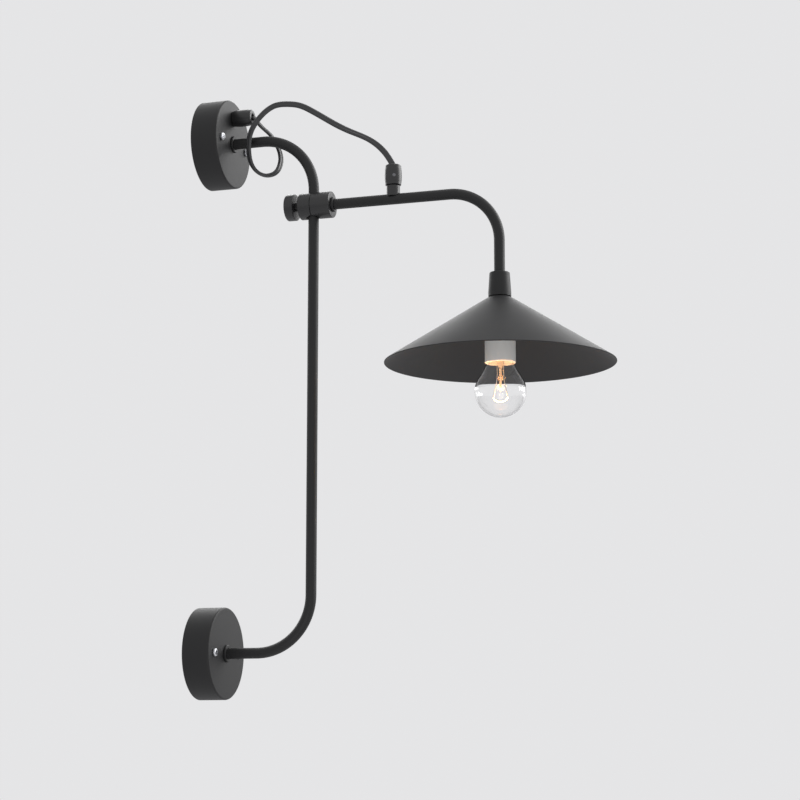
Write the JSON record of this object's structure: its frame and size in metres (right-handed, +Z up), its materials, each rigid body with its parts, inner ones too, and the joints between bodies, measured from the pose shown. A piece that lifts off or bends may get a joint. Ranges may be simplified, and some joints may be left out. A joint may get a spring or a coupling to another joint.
{
  "type": "swing arm wall sconce",
  "caption": "Wall lamp with a cone shade on a swinging, height-adjustable arm, clamped to an upright tube that two round wall cups hold off the wall.",
  "frame": {"origin": "wall plane at the centre of the upper cup, on the back face of the upper wall strap", "axes": "+Y into the wall, so the lamp reaches along -Y; +Z up; +X to the right of someone who faces the wall"},
  "size_m": [0.201, 0.3775, 0.545],
  "materials": {
    "black_paint": "fine satin black powder coat",
    "black_cord": "flat two-core flex, smooth black sheath",
    "zinc_steel": "bright zinc plated steel",
    "bulb_metal": "plain aluminium lamp cap and nickel wire",
    "contact_brass": "pressed brass",
    "white_plastic": "warm white thermoplastic",
    "black_nylon": "moulded black nylon",
    "black_glass": "black vitrite insulator",
    "lead_insulation": "PVC insulated cores",
    "clear_glass": "clear blown glass",
    "filament": "tungsten filament, lit warm white"
  },
  "bodies": {
    "wall_frame": {"upper_wall_strap": "zinc_steel", "upper_cup": "black_paint", "upper_cover_screw_left": "zinc_steel", "upper_cover_screw_right": "zinc_steel", "upper_tube_collar": "black_paint", "upper_tube_washer": "zinc_steel", "upper_tube_nut": "zinc_steel", "lower_wall_strap": "zinc_steel", "lower_cup": "black_paint", "lower_cover_screw_left": "zinc_steel", "lower_cover_screw_right": "zinc_steel", "lower_tube_collar": "black_paint", "lower_tube_washer": "zinc_steel", "lower_tube_nut": "zinc_steel", "wall_tube": "black_paint", "wall_gland": "black_paint", "wall_gland_screw": "zinc_steel", "wall_gland_nut": "black_paint", "terminal_block": "white_plastic", "terminal_screw_left": "zinc_steel", "terminal_screw_right": "zinc_steel", "wall_lead_left": "lead_insulation", "wall_lead_right": "lead_insulation", "cord_loop": "black_cord"},
    "carriage": {"clamp_bush": "black_nylon", "cord_run": "black_cord"},
    "arm": {"clamp_front": "black_paint", "clamp_rear": "black_paint", "clamp_screw_left": "zinc_steel", "clamp_screw_right": "zinc_steel", "arm_tube": "black_paint", "arm_lock_nut": "black_paint", "arm_gland_foot": "black_paint", "arm_gland": "black_paint", "arm_gland_screw": "zinc_steel", "inner_cord": "black_cord", "socket_cup": "black_paint", "shade": "black_paint", "shade_nut": "zinc_steel", "lampholder": "white_plastic", "screw_shell": "contact_brass", "centre_contact": "contact_brass"},
    "pad": {"clamp_pad": "black_nylon"},
    "knob": {"clamp_stud": "black_paint", "clamp_knob": "black_paint"},
    "bulb_contact": {"bulb_tip": "contact_brass"},
    "bulb": {"bulb_glass": "clear_glass", "bulb_cap": "bulb_metal", "cap_insulator": "black_glass", "bulb_stem": "clear_glass", "filament_support_left": "bulb_metal", "filament_support_right": "bulb_metal", "filament": "filament"}
  },
  "joints": [
    {"name": "height_slide", "type": "slide", "parent": "wall_frame", "child": "carriage", "axis": [0, 0, 1], "range_m": [-0.12, 0]},
    {"name": "arm_swing", "type": "hinge", "parent": "carriage", "child": "arm", "pos_m": [0, -0.104, -0.0646], "axis": [0, 0, 1], "range_deg": [-90, 90]},
    {"name": "pad_travel", "type": "slide", "parent": "arm", "child": "pad", "axis": [0, 1, 0], "range_m": [0, 0.00201]},
    {"name": "knob_turn", "type": "hinge", "parent": "pad", "child": "knob", "pos_m": [0, -0.104, -0.0646], "axis": [0, 1, 0], "range_deg": [0, 720]},
    {"name": "bulb_travel", "type": "slide", "parent": "arm", "child": "bulb_contact", "axis": [0, 0, -1], "range_m": [0, 0.0113]},
    {"name": "bulb_unscrew", "type": "hinge", "parent": "bulb_contact", "child": "bulb", "pos_m": [0, -0.277, -0.2436], "axis": [0, 0, -1], "range_deg": [0, 1440]}
  ],
  "couplings": [
    {"joint": "pad_travel", "follows": "knob_turn", "m_per_rad": 0.00015915},
    {"joint": "bulb_travel", "follows": "bulb_unscrew", "m_per_rad": 0.00044882}
  ]
}
